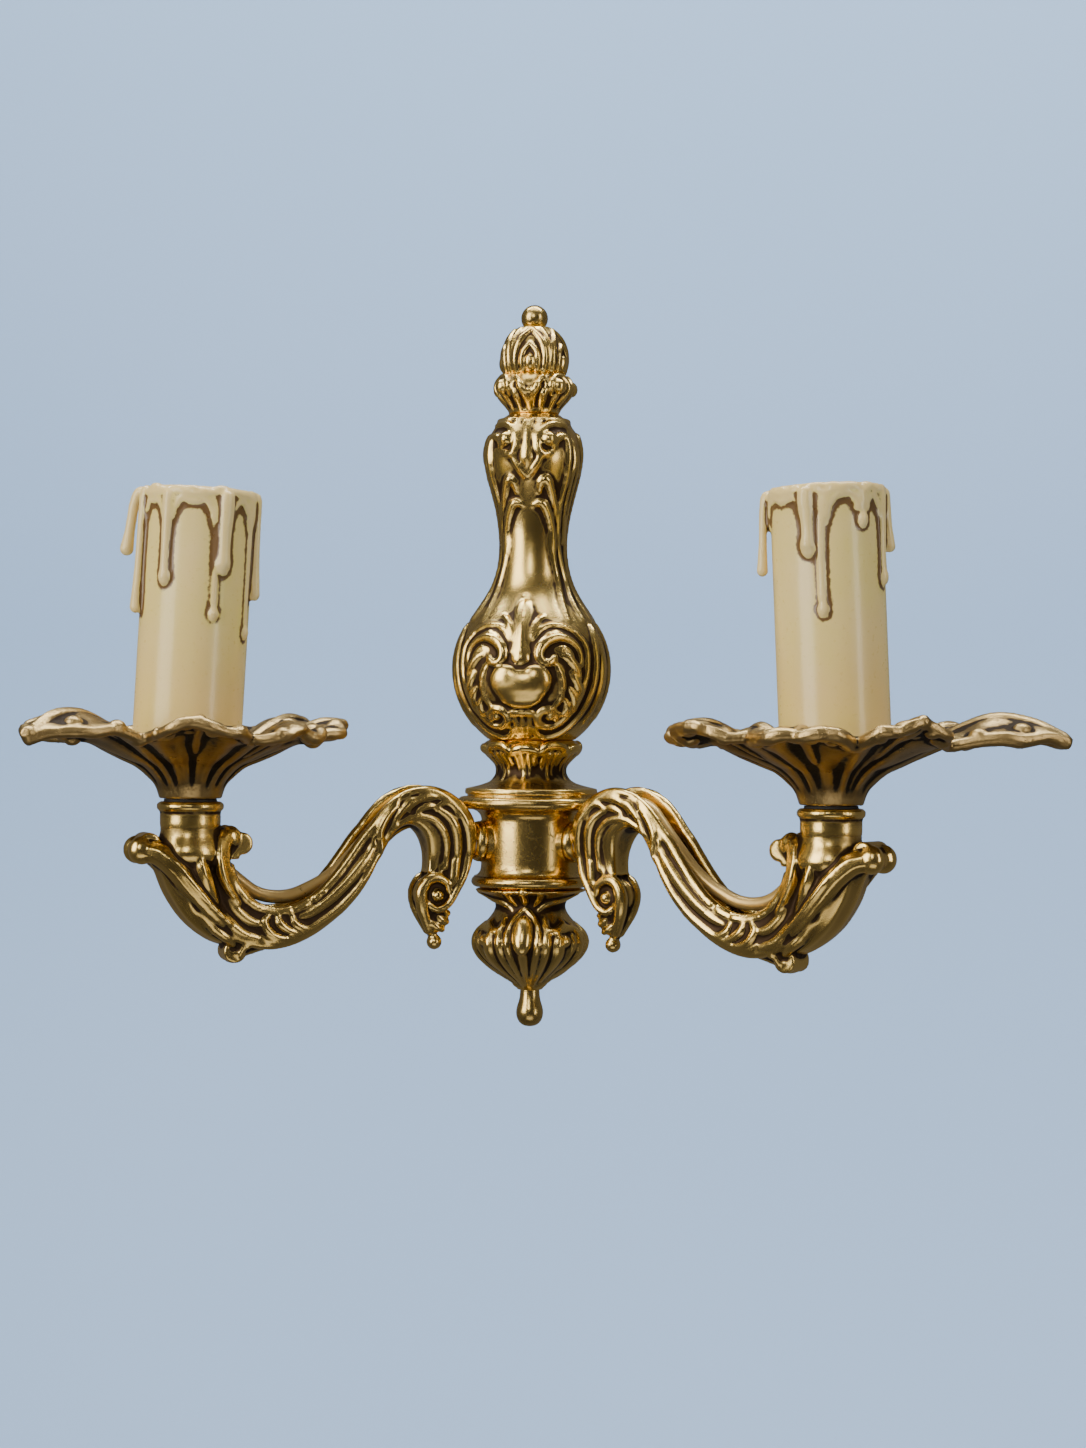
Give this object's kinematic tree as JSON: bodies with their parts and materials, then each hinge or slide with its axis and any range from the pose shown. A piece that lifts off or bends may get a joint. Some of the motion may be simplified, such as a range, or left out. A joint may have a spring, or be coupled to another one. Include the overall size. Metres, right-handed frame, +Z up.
{
  "type": "double arm wall sconce",
  "caption": "Aged brass baluster wall light with two open scroll arms, leaf drip pans and candle sleeves over small screw lampholders.",
  "frame": {"origin": "centre of the hanging hole, in the wall plane", "axes": "+X to the viewer's right along the wall, +Y into the wall, +Z up"},
  "size_m": [0.2647, 0.1065, 0.193],
  "materials": {
    "aged_brass": "polished relief with dark antiquing in the hollows",
    "dark_brass": "darker antiqued brass, satin",
    "brass_parts": "plain turned brass",
    "steel": "zinc plated",
    "white_plastic": "matt moulded",
    "ceramic": "glazed ceramic",
    "black_washer": "dark fibre washer",
    "candle_resin": "cream, semi-gloss, brown antiquing round the drips",
    "gold_flex": "gold coloured flexible cable"
  },
  "bodies": {
    "sconce": {"baluster_casting": "aged_brass", "neck_casting": "aged_brass", "upper_ring": "aged_brass", "hub_drum": "aged_brass", "lower_ring": "aged_brass", "pendant_casting": "aged_brass", "leaf_crown": "aged_brass", "bud_casting": "aged_brass", "top_ball_nut": "aged_brass", "bottom_drop_nut": "aged_brass", "tie_rod": "steel", "wall_plate": "steel", "plate_screws": "steel", "terminal_block": "white_plastic", "terminal_screws": "steel", "earth_screw": "brass_parts", "right_arm": "aged_brass", "right_arm_spacer": "aged_brass", "right_arm_nipple": "steel", "right_arm_nut": "steel", "right_pan_gasket": "black_washer", "right_drip_pan": "dark_brass", "right_pan_nut": "steel", "right_gallery": "brass_parts", "right_cup_nipple": "steel", "right_lampholder": "white_plastic", "right_socket_insulator": "ceramic", "right_socket_screws": "brass_parts", "right_socket_shell": "brass_parts", "right_centre_contact": "brass_parts", "right_flex": "gold_flex", "left_arm": "aged_brass", "left_arm_spacer": "aged_brass", "left_arm_nipple": "steel", "left_arm_nut": "steel", "left_pan_gasket": "black_washer", "left_drip_pan": "dark_brass", "left_pan_nut": "steel", "left_gallery": "brass_parts", "left_cup_nipple": "steel", "left_lampholder": "white_plastic", "left_socket_insulator": "ceramic", "left_socket_screws": "brass_parts", "left_socket_shell": "brass_parts", "left_centre_contact": "brass_parts", "left_flex": "gold_flex"},
    "left_sleeve": {"left_candle_sleeve": "candle_resin"},
    "right_sleeve": {"right_candle_sleeve": "candle_resin"}
  },
  "joints": [
    {"name": "right_sleeve_lift", "type": "slide", "parent": "sconce", "child": "right_sleeve", "axis": [-0.0462, 0.0246, 0.9986], "range_m": [0, 0.062]},
    {"name": "left_sleeve_lift", "type": "slide", "parent": "sconce", "child": "left_sleeve", "axis": [0.0462, 0.0246, 0.9986], "range_m": [0, 0.062]}
  ]
}
